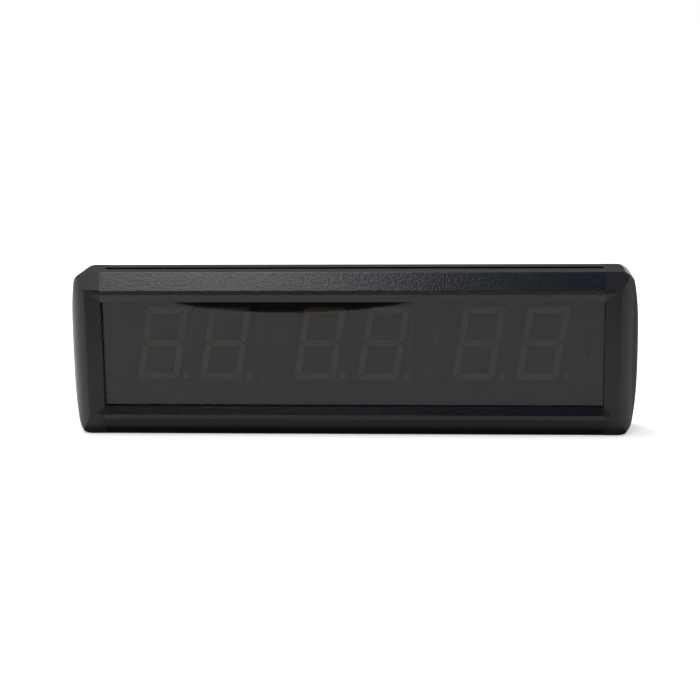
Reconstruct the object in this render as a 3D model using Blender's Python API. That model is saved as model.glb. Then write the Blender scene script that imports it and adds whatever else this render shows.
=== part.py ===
"""Six-digit LED wall and desk clock in an extruded aluminium housing, in metres, +Z up, front towards -Y.

The origin is at the middle of the footprint. Two slotted rails and two moulded end caps make the housing,
a smoked window and a back panel slide in the rails, and a circuit board inside carries the rest.
"""

import math

import bmesh
import bpy
from mathutils import Matrix, Vector

# Housing
HEIGHT = 0.0890
END_MARGIN = 0.01515  # from the outer digit modules to the end cap joints
REAR_SPACE = 0.0103  # between the circuit board and the back panel
FIT = 0.0003  # gap between pieces that touch

# Rail section, measured from the front face and from the outer face of the rail
BEVEL_RISE = 0.0093  # sloping outer bevel
BEVEL_RUN = 0.0040
BAND = 0.0023  # flat front band
LIP_RISE = 0.0041  # inner bevel that frames the window
LIP_RUN = 0.0015
LIP_EDGE = 0.0025
WALL = 0.0018
WEB = 0.0016  # inner walls of the section
GROOVE_WALL = 0.0012
GROOVE_BITE = 0.0020  # how far a panel reaches into its groove
INNER_BITE = 0.0010  # how far the groove's inner wall covers the window
EDGE_RADIUS = 0.0005
SLOT_CENTRE = 0.0183
SLOT_NECK = 0.0062
SLOT_LIP = 0.0015
SLOT_WIDTH = 0.0100
SLOT_DEPTH = 0.0045
BOARD_RIB = 0.0030
REAR_LIP = 0.0110
PORT_RADIUS = 0.0030
PORT_BORE = 0.0035

# End caps
CAP_RIDGE = 0.0086  # from the joint to the front ridge
CAP_REACH = 0.0195  # from the joint to the widest place
CAP_CREST = 0.0188  # depth of the widest place behind the front face
CAP_SAG = 0.0048  # how much the side falls away at the top and bottom
CAP_CORNER = 0.0064
CAP_BAND = 0.0032
CAP_WALL = 0.0060
POCKET_FRONT = 0.0080
POCKET_BACK = 0.0250
POCKET_MARGIN = 0.0180
TONGUE_LENGTH = 0.0060
TONGUE_WIDTH = 0.0036
TONGUE_HEIGHT = 0.0045
NOTCH_WIDTH = 0.0030
NOTCH_LENGTH = 0.0020
NOTCH_DEPTH = 0.0025
NOTCH_INSET = 0.0113  # from the joint to the outer end of the notch
SCREW_SEAT = 0.0090  # from the joint to the seat of the screw head
SCREW_RADIUS = 0.00145
SCREW_LENGTH = 0.0210
HEAD_RADIUS = 0.0028
HEAD_HEIGHT = 0.0022
HEAD_CROWN = 0.0017  # flat on top of the screw head

# Window, back panel and circuit board
WINDOW_THICK = 0.0020
PANEL_THICK = 0.0015
BOARD_THICK = 0.0016
BOARD_END = 0.0020  # from the board's end to the joint
BOARD_HOLE = 0.0016
BOARD_HOLE_X = 0.0650
BOARD_HOLE_FALL = 0.0225
KEYHOLE_X = 0.1050
KEYHOLE_LIFT = 0.0075
KEYHOLE_RADIUS = 0.0046
KEYHOLE_NECK = 0.0024
KEYHOLE_RISE = 0.0090
SOUND_RING = 0.0035
SOUND_RADIUS = 0.0010
SOUND_HOLES = 6

# Display
MODULE_WIDTH = 0.0338
MODULE_HEIGHT = 0.0480
MODULE_DEPTH = 0.0090
MODULE_CHAMFER = 0.0005
MODULE_GAP = 0.0003  # between the two modules of a pair
MODULE_CLEAR = 0.0005  # between the modules and the upper window groove
PAIR_GAP = 0.0171  # between the pairs, where the colons are
DIGIT_HEIGHT = 0.0395
DIGIT_WIDTH = 0.0223
SEGMENT = 0.0036
SEGMENT_GAP = 0.0003
SEGMENT_RECESS = 0.0004
SLANT = math.radians(9.3)
POINT_X = 0.0152
POINT_RADIUS = 0.0019
COLON_RADIUS = 0.0025
COLON_SET = 0.0004  # how far the colon lamps stay behind the module faces
COLON_SPREAD = 0.0170
COLON_DROP = 0.0050
COLON_SHIFT = 0.0014
PILOT_RADIUS = 0.0015
PILOT_TALL = 0.0053
PILOT_SET = 0.0049  # from the last module to the first pilot lamp
PILOT_PITCH = 0.0046
PILOT_RISE = (0.0116, -0.0046)
RIM = 0.0004  # flange of a lamp
RIM_TALL = 0.0010
RECEIVER_RISE = 0.0205
RECEIVER_WIDTH = 0.0060
RECEIVER_HEIGHT = 0.0070
RECEIVER_THICK = 0.0030
RECEIVER_DOME = 0.0025

# Parts on the back of the board
JACK_X = -0.0600
JACK_FALL = 0.0185
JACK_RADIUS = 0.0050
JACK_NECK = 0.0037
JACK_BORE = 0.0028
JACK_PIN = 0.0010
JACK_DEPTH = 0.0095
JACK_PIN_DROP = 0.0010
NUT_RADIUS = 0.0062
NUT_THICK = 0.0011
BUZZER_X = 0.0350
BUZZER_FALL = 0.0145
BUZZER_RADIUS = 0.0060
BUZZER_TALL = 0.0085
BUZZER_MOUTH = 0.0010
SWITCH_X = (0.0640, 0.0760, 0.0880)
SWITCH_FALL = 0.0145
SWITCH_SIDE = 0.0060
SWITCH_TALL = 0.0034
BUTTON_NAMES = ("set_button", "up_button", "down_button")
BUTTON_RADIUS = 0.0023
BUTTON_FLANGE = 0.0034
BUTTON_FLANGE_THICK = 0.0010
BUTTON_FOOT = 0.0015
BUTTON_TRAVEL = 0.0008
CELL_X = -0.0150
CELL_FALL = 0.0145
CELL_RADIUS = 0.0100
CELL_TALL = 0.0032
HOLDER_WALL = 0.0012
HOLDER_FLOOR = 0.0010
CAN_X = (-0.0790, -0.0790)
CAN_LIFT = (-0.0175, -0.0075)
CAN_RADIUS = 0.0032
CAN_TALL = 0.0077
CRYSTAL_X = 0.0200
CRYSTAL_LIFT = 0.0215
CRYSTAL_LENGTH = 0.0115
CRYSTAL_WIDTH = 0.0048
CRYSTAL_TALL = 0.0036
CRYSTAL_CORNER = 0.0022
CHIP_CHAMFER = 0.0003
# name, middle x, height above the housing's middle, width, height, thickness
CHIPS = (
    ("microcontroller", 0.0200, 0.0075, 0.0100, 0.0100, 0.0014),
    ("display_driver_1", -0.0420, 0.0115, 0.0103, 0.0075, 0.0023),
    ("display_driver_2", 0.0620, 0.0115, 0.0103, 0.0075, 0.0023),
    ("clock_chip", -0.0150, 0.0115, 0.0050, 0.0062, 0.0017),
    ("voltage_regulator", -0.0600, -0.0005, 0.0065, 0.0070, 0.0023),
)

ROUND_SIDES = 24
SMALL_SIDES = 16
HOLE_SIDES = 8
HEXAGON = 6
FILLET_STEPS = 4
ARC_STEPS = 20
SHARP_ANGLE = math.radians(35)

# Places worked out from the sizes above
DIGIT_PITCH = MODULE_WIDTH + MODULE_GAP
PAIR_PITCH = 2 * DIGIT_PITCH + PAIR_GAP
JOINT = PAIR_PITCH + DIGIT_PITCH / 2 + MODULE_WIDTH / 2 + END_MARGIN  # half the length of a rail
MIDDLE = HEIGHT / 2
RIDGE_DROP = BEVEL_RISE
BAND_DROP = RIDGE_DROP + BAND
LIP_DROP = BAND_DROP + LIP_RISE
WINDOW_FRONT = LIP_RUN + LIP_EDGE + FIT
WINDOW_BACK = WINDOW_FRONT + WINDOW_THICK
MODULE_FRONT = WINDOW_BACK + FIT
MODULE_BACK = MODULE_FRONT + MODULE_DEPTH
BOARD_FRONT = MODULE_BACK + FIT
BOARD_BACK = BOARD_FRONT + BOARD_THICK
PANEL_FRONT = BOARD_BACK + REAR_SPACE
PANEL_BACK = PANEL_FRONT + PANEL_THICK
DEPTH = PANEL_BACK + FIT + GROOVE_WALL
FRONT = -DEPTH / 2
REAR_END = DEPTH - FIT  # the buttons and the socket stay inside the back plane
FLOOR_DROP = SLOT_LIP + SLOT_DEPTH + WEB  # underside of the slot floor
BOARD_DROP = FLOOR_DROP + FIT
WINDOW_DROP = LIP_DROP - GROOVE_BITE
PANEL_DROP = REAR_LIP - GROOVE_BITE
RIB_BACK = BOARD_BACK + FIT + GROOVE_WALL
REAR_WALL = PANEL_FRONT - FIT - GROOVE_WALL
PORT_DEPTH = (RIB_BACK + REAR_WALL) / 2
PORT_DROP = FLOOR_DROP + PORT_RADIUS
PANEL_END = JOINT + FIT + GROOVE_BITE  # ends of the window and the back panel, inside the caps
DISPLAY_Z = HEIGHT - WINDOW_DROP - INNER_BITE - MODULE_CLEAR - MODULE_HEIGHT / 2
COLON_TALL = MODULE_DEPTH - COLON_SET
PILOT_X = PAIR_PITCH + DIGIT_PITCH / 2 + MODULE_WIDTH / 2 + PILOT_SET
RECEIVER_X = PILOT_X + PILOT_PITCH
RECEIVER_Z = MIDDLE + RECEIVER_RISE
KEYHOLE_Z = MIDDLE + KEYHOLE_LIFT
JACK_Z = MIDDLE - JACK_FALL
BUZZER_Z = MIDDLE - BUZZER_FALL
SWITCH_Z = MIDDLE - SWITCH_FALL
CELL_Z = MIDDLE - CELL_FALL
CRYSTAL_Z = MIDDLE + CRYSTAL_LIFT


def clear_scene():
    for old in list(bpy.data.objects):
        bpy.data.objects.remove(old, do_unlink=True)


def finish(name, colour, roughness, metallic=0.0):
    """A plain material with the piece's own colour."""
    made = bpy.data.materials.new(name)
    made.use_nodes = True
    shader = made.node_tree.nodes["Principled BSDF"]
    shader.inputs["Base Color"].default_value = (*colour, 1.0)
    shader.inputs["Roughness"].default_value = roughness
    shader.inputs["Metallic"].default_value = metallic
    return made


def place(name, mesh, look, at=(0.0, 0.0, 0.0)):
    """An object of its own for a finished mesh."""
    mesh.materials.clear()
    mesh.materials.append(look)
    made = bpy.data.objects.new(name, mesh)
    made.location = at
    bpy.context.collection.objects.link(made)
    return made


def mesh_of(shape):
    """Turns a bmesh into a mesh with its faces pointing out."""
    bmesh.ops.recalc_face_normals(shape, faces=shape.faces)
    mesh = bpy.data.meshes.new("solid")
    shape.to_mesh(mesh)
    shape.free()
    return mesh


def prism(outline, start, end, to_space):
    """Extrudes a 2-D outline; to_space turns its two numbers and a distance into x, y and z."""
    shape = bmesh.new()
    ends = [[shape.verts.new(to_space(a, b, along)) for a, b in outline] for along in (start, end)]
    shape.faces.new(ends[0])
    shape.faces.new(ends[1])
    for first in range(len(outline)):
        second = (first + 1) % len(outline)
        shape.faces.new((ends[0][first], ends[0][second], ends[1][second], ends[1][first]))
    return mesh_of(shape)


def along_x(depth, drop, x):
    """A rail section's point: depth behind the front face and drop below the top."""
    return (x, FRONT + depth, HEIGHT - drop)


def along_z(x, depth, z):
    return (x, FRONT + depth, z)


def along_y(x, z, depth):
    return (x, FRONT + depth, z)


def box(low, high):
    """A block between two corners given as x, depth and z."""
    outline = [(low[0], low[2]), (high[0], low[2]), (high[0], high[2]), (low[0], high[2])]
    return prism(outline, low[1], high[1], along_y)


def ring_outline(across, up, radius, sides):
    angles = [math.tau * step / sides for step in range(sides)]
    return [(across + radius * math.cos(a), up + radius * math.sin(a)) for a in angles]


def turned(profile, x, z, sides=ROUND_SIDES):
    """Spins a closed profile of (radius, depth) points about an axis along Y."""
    shape = bmesh.new()
    rings = []
    for radius, depth in profile:
        if radius == 0.0:
            rings.append([shape.verts.new((x, FRONT + depth, z))])
            continue
        around = ring_outline(x, z, radius, sides)
        rings.append([shape.verts.new((a, FRONT + depth, b)) for a, b in around])
    for ring, after in zip(rings, rings[1:] + rings[:1]):
        for step in range(sides):
            corners = [ring[step % len(ring)], ring[(step + 1) % len(ring)]]
            corners += [after[(step + 1) % len(after)], after[step % len(after)]]
            corners = list(dict.fromkeys(corners))
            if len(corners) > 2:
                shape.faces.new(corners)
    return mesh_of(shape)


def rod(radius, start, end, x, z, sides=ROUND_SIDES):
    """A round bar along Y, between two depths."""
    return turned([(0.0, start), (radius, start), (radius, end), (0.0, end)], x, z, sides)


def smooth(mesh):
    mesh.shade_smooth()
    mesh.set_sharp_from_angle(angle=SHARP_ANGLE)
    return mesh


def chamfered(block, depth, size):
    """Chamfers the edges of a block's face at the given depth."""
    shape = bmesh.new()
    shape.from_mesh(block)
    edges = []
    for edge in shape.edges:
        if all(abs(vert.co.y - FRONT - depth) < FIT for vert in edge.verts):
            edges.append(edge)
    bmesh.ops.bevel(shape, geom=edges, offset=size, segments=1, affect="EDGES")
    return mesh_of(shape)


def combined(body, others, operation="DIFFERENCE"):
    """Cuts, joins or trims a mesh by others and returns the result."""
    helpers = [bpy.data.objects.new("helper", mesh) for mesh in [body, *others]]
    for helper in helpers:
        bpy.context.collection.objects.link(helper)
    for helper in helpers[1:]:
        step = helpers[0].modifiers.new("step", "BOOLEAN")
        step.operation = operation
        step.solver = "EXACT"
        step.object = helper
    bpy.context.view_layer.update()
    graph = bpy.context.evaluated_depsgraph_get()
    result = bpy.data.meshes.new_from_object(helpers[0].evaluated_get(graph))
    for helper in helpers:
        bpy.data.objects.remove(helper, do_unlink=True)
    return result


def moved(mesh, matrix):
    """A transformed copy, turned right side out where the matrix mirrors."""
    copy = mesh.copy()
    copy.transform(matrix)
    if matrix.determinant() < 0:
        copy.flip_normals()
    return copy


def rounded(outline, radius_at):
    """Replaces the listed corners of an outline by arcs; radius_at maps a corner's index to its radius."""
    result = []
    for index, point in enumerate(outline):
        if index not in radius_at:
            result.append(point)
            continue
        corner = Vector(point)
        before = (Vector(outline[index - 1]) - corner).normalized()
        after = (Vector(outline[(index + 1) % len(outline)]) - corner).normalized()
        half = before.angle(after) / 2
        radius = radius_at[index]
        centre = corner + (before + after).normalized() * radius / math.sin(half)
        first = corner + before * radius / math.tan(half) - centre
        last = corner + after * radius / math.tan(half) - centre
        sweep = math.atan2(first.x * last.y - first.y * last.x, first.dot(last))
        for step in range(FILLET_STEPS + 1):
            turn = sweep * step / FILLET_STEPS
            x = first.x * math.cos(turn) - first.y * math.sin(turn)
            y = first.x * math.sin(turn) + first.y * math.cos(turn)
            result.append((centre.x + x, centre.y + y))
    return result


def rail_section():
    """The upper rail's section as (depth, drop) points, from the front over the top and back inside."""
    slope = math.hypot(BEVEL_RISE, BEVEL_RUN)
    inner_run = WALL * slope / BEVEL_RISE  # the bevel's wall, measured along the depth
    per_drop = BEVEL_RUN / BEVEL_RISE
    neck_front = SLOT_CENTRE - SLOT_NECK / 2
    neck_back = SLOT_CENTRE + SLOT_NECK / 2
    slot_front = SLOT_CENTRE - SLOT_WIDTH / 2
    slot_back = SLOT_CENTRE + SLOT_WIDTH / 2
    rib_drop = FLOOR_DROP + BOARD_RIB
    panel_inside = PANEL_FRONT - FIT
    panel_outside = PANEL_BACK + FIT
    board_front = BOARD_FRONT - FIT
    board_back = BOARD_BACK + FIT
    window_inside = WINDOW_BACK + FIT
    window_wall = window_inside + GROOVE_WALL
    outer = rounded(
        [
            (0.0, BAND_DROP),
            (0.0, RIDGE_DROP),
            (BEVEL_RUN, 0.0),
            (neck_front, 0.0),
            (neck_front, SLOT_LIP),
            (slot_front, SLOT_LIP),
            (slot_front, SLOT_LIP + SLOT_DEPTH),
            (slot_back, SLOT_LIP + SLOT_DEPTH),
            (slot_back, SLOT_LIP),
            (neck_back, SLOT_LIP),
            (neck_back, 0.0),
            (DEPTH, 0.0),
            (DEPTH, REAR_LIP),
        ],
        {1: EDGE_RADIUS, 2: EDGE_RADIUS, 11: EDGE_RADIUS},
    )
    rear = [
        (panel_outside, REAR_LIP),
        (panel_outside, PANEL_DROP - FIT),
        (panel_inside, PANEL_DROP - FIT),
        (panel_inside, REAR_LIP),
        (REAR_WALL, REAR_LIP),
        (REAR_WALL, FLOOR_DROP),
    ]
    port = []
    for step in range(ARC_STEPS // 2 + 1):
        turn = math.pi * step / (ARC_STEPS // 2)
        depth = PORT_DEPTH + PORT_RADIUS * math.cos(turn)
        port.append((depth, PORT_DROP + PORT_RADIUS * math.sin(turn)))
    port = [(PORT_DEPTH + PORT_RADIUS, FLOOR_DROP), *port, (PORT_DEPTH - PORT_RADIUS, FLOOR_DROP)]
    ribs = [
        (RIB_BACK, FLOOR_DROP),
        (RIB_BACK, rib_drop),
        (board_back, rib_drop),
        (board_back, FLOOR_DROP),
        (board_front, FLOOR_DROP),
        (board_front, rib_drop),
        (slot_front - WEB, rib_drop),
    ]
    nose = [
        (slot_front - WEB, WALL),
        (inner_run + per_drop * (RIDGE_DROP - WALL), WALL),
        (inner_run, RIDGE_DROP),
        (window_wall, BAND_DROP),
        (window_wall, WINDOW_DROP + INNER_BITE),
        (window_inside, WINDOW_DROP + INNER_BITE),
        (window_inside, WINDOW_DROP - FIT),
        (WINDOW_FRONT - FIT, WINDOW_DROP - FIT),
        (WINDOW_FRONT - FIT, LIP_DROP),
        (LIP_RUN, LIP_DROP),
    ]
    return outer + rear + port + ribs + nose


def make_rails(look):
    body = prism(rail_section(), -JOINT, JOINT, along_x)
    chamber_front = SLOT_CENTRE + SLOT_WIDTH / 2 + WEB
    chamber = [
        (chamber_front, WALL),
        (DEPTH - WALL, WALL),
        (DEPTH - WALL, PANEL_DROP - FIT - WEB),
        (chamber_front, PANEL_DROP - FIT - WEB),
    ]
    bore = ring_outline(PORT_DEPTH, PORT_DROP, PORT_BORE / 2, SMALL_SIDES)
    past = JOINT + WALL
    upper = combined(body, [prism(chamber, -past, past, along_x), prism(bore, -past, past, along_x)])
    place("top_rail", upper, look)
    place("bottom_rail", moved(upper, upside_down()), look)


def upside_down():
    """Mirrors about the housing's middle height."""
    return Matrix.Translation((0.0, 0.0, HEIGHT)) @ Matrix.Scale(-1.0, 4, (0.0, 0.0, 1.0))


def left_to_right():
    return Matrix.Scale(-1.0, 4, (1.0, 0.0, 0.0))


def cap_side_outline():
    """Plan view of a cap: flat to the ridge, then an arc back over the widest place."""
    rise = CAP_REACH - CAP_RIDGE
    radius = (CAP_CREST**2 + rise**2) / (2 * rise)
    centre = CAP_REACH - radius
    outline = [(JOINT + FIT, 0.0)]
    for step in range(ARC_STEPS + 1):
        depth = DEPTH * step / ARC_STEPS
        outline.append((JOINT + centre + math.sqrt(radius**2 - (depth - CAP_CREST) ** 2), depth))
    return outline + [(JOINT + FIT, DEPTH)]


def cap_front_outline():
    """Front view of a cap: a slightly barrelled side with rounded corners."""
    radius = (MIDDLE**2 + CAP_SAG**2) / (2 * CAP_SAG)
    centre = JOINT + CAP_REACH - radius
    side = []
    for step in range(ARC_STEPS + 1):
        z = HEIGHT * step / ARC_STEPS
        side.append((centre + math.sqrt(radius**2 - (z - MIDDLE) ** 2), z))
    outline = [(JOINT + FIT, 0.0), *side[:1], *side[2:-2], *side[-1:], (JOINT + FIT, HEIGHT)]
    corners = {1: CAP_CORNER, len(outline) - 2: CAP_CORNER}
    return rounded(outline, corners)


def cap_section():
    """Side view of a cap, with the same bevels as the rails."""
    outline = [
        (0.0, HEIGHT - RIDGE_DROP),
        (0.0, RIDGE_DROP),
        (BEVEL_RUN, 0.0),
        (DEPTH, 0.0),
        (DEPTH, HEIGHT),
        (BEVEL_RUN, HEIGHT),
    ]
    return rounded(outline, {index: EDGE_RADIUS for index in range(len(outline))})


def frame_recess():
    """The sloping recess round the window that a cap shares with the rails, with mitred corners."""
    shape = bmesh.new()
    per_run = LIP_RISE / LIP_RUN
    wide_per_run = (CAP_RIDGE - CAP_BAND) / LIP_RUN
    rings = []
    for depth in (-LIP_RUN, LIP_RUN):
        from_lip = LIP_RUN - depth
        low = LIP_DROP - per_run * from_lip
        reach = JOINT + wide_per_run * from_lip
        inside = JOINT - CAP_RIDGE
        corners = [(inside, low), (reach, low), (reach, HEIGHT - low), (inside, HEIGHT - low)]
        rings.append([shape.verts.new((x, FRONT + depth, z)) for x, z in corners])
    shape.faces.new(rings[0])
    shape.faces.new(rings[1])
    for first in range(4):
        second = (first + 1) % 4
        shape.faces.new((rings[0][first], rings[0][second], rings[1][second], rings[1][first]))
    return mesh_of(shape)


def cap_cuts():
    """What is cut from a cap: panel slots, the inner pocket, screw holes and the small notches."""
    inside = JOINT - WALL
    slot_end = PANEL_END + FIT
    outside = JOINT + CAP_REACH + WALL
    cuts = [
        frame_recess(),
        box(
            (inside, WINDOW_FRONT - FIT, WINDOW_DROP - FIT),
            (slot_end, WINDOW_BACK + FIT, HEIGHT - WINDOW_DROP + FIT),
        ),
        box(
            (inside, PANEL_FRONT - FIT, PANEL_DROP - FIT),
            (slot_end, PANEL_BACK + FIT, HEIGHT - PANEL_DROP + FIT),
        ),
        box(
            (inside, POCKET_FRONT, POCKET_MARGIN),
            (JOINT + CAP_REACH - CAP_WALL, POCKET_BACK, HEIGHT - POCKET_MARGIN),
        ),
    ]
    for drop in (PORT_DROP, HEIGHT - PORT_DROP):
        hole = ring_outline(PORT_DEPTH, drop, SCREW_RADIUS + FIT, SMALL_SIDES)
        cuts.append(prism(hole, inside, outside, along_x))
        head = ring_outline(PORT_DEPTH, drop, HEAD_RADIUS + FIT, SMALL_SIDES)
        cuts.append(prism(head, JOINT + SCREW_SEAT, outside, along_x))
    notch_end = JOINT + NOTCH_INSET
    for low, high in ((-WALL, NOTCH_DEPTH), (HEIGHT - NOTCH_DEPTH, HEIGHT + WALL)):
        notch_low = (notch_end - NOTCH_LENGTH, SLOT_CENTRE - NOTCH_WIDTH / 2, low)
        cuts.append(box(notch_low, (notch_end, SLOT_CENTRE + NOTCH_WIDTH / 2, high)))
    return cuts


def cap_tongues():
    """Two tongues that enter the front channels of the rails and line the cap up."""
    back = SLOT_CENTRE - SLOT_WIDTH / 2 - WEB - FIT
    tongues = []
    for low in (WALL + FIT, HEIGHT - WALL - FIT - TONGUE_HEIGHT):
        near = (JOINT - TONGUE_LENGTH, back - TONGUE_WIDTH, low)
        tongues.append(box(near, (JOINT + CAP_RIDGE / 2, back, low + TONGUE_HEIGHT)))
    return tongues


def make_caps(look):
    past = JOINT + CAP_REACH + WALL
    block = prism(cap_section(), JOINT + FIT, past, along_x)
    plan = prism(cap_side_outline(), -WALL, HEIGHT + WALL, along_z)
    front = prism(cap_front_outline(), -WALL, DEPTH + WALL, along_y)
    outer = combined(block, [plan, front], "INTERSECT")
    moulded = combined(combined(outer, cap_tongues(), "UNION"), cap_cuts())
    place("right_end_cap", smooth(moulded), look)
    place("left_end_cap", smooth(moved(moulded, left_to_right())), look)


def make_cap_screws(look):
    """Pan head screws along X, two for each cap."""
    seat = JOINT + SCREW_SEAT + FIT
    outline = [
        (0.0, seat - SCREW_LENGTH),
        (SCREW_RADIUS, seat - SCREW_LENGTH + SCREW_RADIUS),
        (SCREW_RADIUS, seat),
        (HEAD_RADIUS, seat),
        (HEAD_RADIUS, seat + HEAD_HEIGHT / 2),
        (HEAD_CROWN, seat + HEAD_HEIGHT),
        (0.0, seat + HEAD_HEIGHT),
    ]
    turn = Matrix.Rotation(math.radians(-90), 4, "Z")
    for row, drop in (("upper", PORT_DROP), ("lower", HEIGHT - PORT_DROP)):
        screw = turned([(radius, along - FRONT) for radius, along in outline], 0.0, 0.0, SMALL_SIDES)
        screw.transform(Matrix.Translation((0.0, FRONT + PORT_DEPTH, HEIGHT - drop)) @ turn)
        place(f"right_{row}_cap_screw", smooth(screw), look)
        place(f"left_{row}_cap_screw", smooth(moved(screw, left_to_right())), look)


def make_window(look):
    low = (-PANEL_END, WINDOW_FRONT, WINDOW_DROP)
    place("front_window", box(low, (PANEL_END, WINDOW_BACK, HEIGHT - WINDOW_DROP)), look)


def keyhole(x):
    """A hanging hole: a wide entry with a narrow slot above it."""
    half = math.asin(KEYHOLE_NECK / KEYHOLE_RADIUS)
    outline = []
    for step in range(ARC_STEPS + 1):
        turn = math.pi / 2 + half + (math.tau - 2 * half) * step / ARC_STEPS
        z = KEYHOLE_Z + KEYHOLE_RADIUS * math.sin(turn)
        outline.append((x + KEYHOLE_RADIUS * math.cos(turn), z))
    for step in range(FILLET_STEPS * 2 + 1):
        turn = math.pi * step / (FILLET_STEPS * 2)
        z = KEYHOLE_Z + KEYHOLE_RISE + KEYHOLE_NECK * math.sin(turn)
        outline.append((x + KEYHOLE_NECK * math.cos(turn), z))
    return prism(outline, PANEL_FRONT - WALL, PANEL_BACK + WALL, along_y)


def panel_hole(x, z, radius, sides=ROUND_SIDES):
    return rod(radius, PANEL_FRONT - WALL, PANEL_BACK + WALL, x, z, sides)


def make_back_panel(look):
    low = (-PANEL_END, PANEL_FRONT, PANEL_DROP)
    plate = box(low, (PANEL_END, PANEL_BACK, HEIGHT - PANEL_DROP))
    cuts = [keyhole(-KEYHOLE_X), keyhole(KEYHOLE_X), panel_hole(JACK_X, JACK_Z, JACK_NECK + FIT)]
    for x in SWITCH_X:
        cuts.append(panel_hole(x, SWITCH_Z, BUTTON_RADIUS + FIT))
    for x, z in ring_outline(BUZZER_X, BUZZER_Z, SOUND_RING, SOUND_HOLES):
        cuts.append(panel_hole(x, z, SOUND_RADIUS, HOLE_SIDES))
    cuts.append(panel_hole(BUZZER_X, BUZZER_Z, SOUND_RADIUS, HOLE_SIDES))
    place("back_panel", combined(plate, cuts), look)


def make_board(look):
    end = JOINT - BOARD_END
    plate = box((-end, BOARD_FRONT, BOARD_DROP), (end, BOARD_BACK, HEIGHT - BOARD_DROP))
    z = MIDDLE - BOARD_HOLE_FALL
    holes = []
    for x in (-BOARD_HOLE_X, BOARD_HOLE_X):
        holes.append(rod(BOARD_HOLE, BOARD_FRONT - WALL, BOARD_BACK + WALL, x, z, SMALL_SIDES))
    place("main_board", combined(plate, holes), look)


def slanted(x, z):
    return x + z * math.tan(SLANT), z


def segment_outline(start, end):
    """One bar of a digit: six-sided, between two corners of the figure eight, pointed at both ends."""
    a = Vector(start)
    b = Vector(end)
    along = (b - a).normalized()
    across = Vector((-along.y, along.x)) * (SEGMENT / 2 - SEGMENT_GAP)
    shoulder = along * (SEGMENT / 2)
    tip = along * SEGMENT_GAP
    points = [a + tip, a + shoulder + across, b - shoulder + across]
    points += [b - tip, b - shoulder - across, a + shoulder - across]
    return [slanted(point.x, point.y) for point in points]


def digit_outlines():
    """The seven bars of a digit about its own middle."""
    x = (DIGIT_WIDTH - SEGMENT) / 2
    z = (DIGIT_HEIGHT - SEGMENT) / 2
    corners = [(-x, z), (x, z), (x, 0.0), (x, -z), (-x, -z), (-x, 0.0)]
    bars = [segment_outline(corners[i], corners[(i + 1) % 6]) for i in range(6)]
    return bars + [segment_outline(corners[5], corners[2])]


def digit_mesh():
    """A display module with its bars and decimal point sunk a little into its face."""
    half = MODULE_WIDTH / 2
    tall = MODULE_HEIGHT / 2
    block = box((-half, MODULE_FRONT, -tall), (half, MODULE_BACK, tall))
    body = chamfered(block, MODULE_FRONT, MODULE_CHAMFER)
    floor = MODULE_FRONT + SEGMENT_RECESS
    cuts = [prism(bar, MODULE_FRONT - WALL, floor, along_y) for bar in digit_outlines()]
    point_z = -DIGIT_HEIGHT / 2 + POINT_RADIUS
    point_x = slanted(POINT_X, point_z)[0]
    cuts.append(rod(POINT_RADIUS, MODULE_FRONT - WALL, floor, point_x, point_z, SMALL_SIDES))
    return combined(body, cuts)


def make_digits(look):
    module = digit_mesh()
    for number in range(6):
        pair = number // 2 - 1
        x = pair * PAIR_PITCH + (number % 2 - 0.5) * DIGIT_PITCH
        place(f"digit_module_{number + 1}", module.copy(), look, (x, 0.0, DISPLAY_Z))


def lamp(radius, tall, x, z):
    """A round lamp on the front of the board: a flange, a barrel and a domed tip."""
    base = MODULE_BACK
    profile = [
        (0.0, base),
        (radius + RIM, base),
        (radius + RIM, base - RIM_TALL),
        (radius, base - RIM_TALL),
    ]
    for step in range(FILLET_STEPS):
        turn = math.pi / 2 * step / FILLET_STEPS
        profile.append((radius * math.cos(turn), base - tall + radius - radius * math.sin(turn)))
    profile.append((0.0, base - tall))
    return smooth(turned(profile, x, z, SMALL_SIDES))


def make_lamps(colon_look, pilot_look):
    number = 0
    for pair in (-0.5, 0.5):
        for side in (0.5, -0.5):
            number += 1
            lean, rise = slanted(0.0, side * COLON_SPREAD)
            x = pair * PAIR_PITCH + COLON_SHIFT + lean
            z = DISPLAY_Z - COLON_DROP + rise
            place(f"colon_lamp_{number}", lamp(COLON_RADIUS, COLON_TALL, x, z), colon_look)
    number = 0
    for rise in PILOT_RISE:
        for x in (PILOT_X, PILOT_X + PILOT_PITCH):
            number += 1
            place(f"pilot_lamp_{number}", lamp(PILOT_RADIUS, PILOT_TALL, x, MIDDLE + rise), pilot_look)


def make_receiver(look):
    """Infrared receiver: a moulded block with a domed lens towards the window."""
    face = MODULE_BACK - RECEIVER_THICK
    half = RECEIVER_WIDTH / 2
    tall = RECEIVER_HEIGHT / 2
    block = box(
        (RECEIVER_X - half, face, RECEIVER_Z - tall), (RECEIVER_X + half, MODULE_BACK, RECEIVER_Z + tall)
    )
    profile = [(0.0, face + RIM_TALL), (RECEIVER_DOME, face + RIM_TALL)]
    for step in range(FILLET_STEPS):
        turn = math.pi / 2 * step / FILLET_STEPS
        profile.append((RECEIVER_DOME * math.cos(turn), face - RECEIVER_DOME * math.sin(turn)))
    profile.append((0.0, face - RECEIVER_DOME))
    dome = turned(profile, RECEIVER_X, RECEIVER_Z, SMALL_SIDES)
    place("infrared_receiver", smooth(combined(block, [dome], "UNION")), look)


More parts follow.
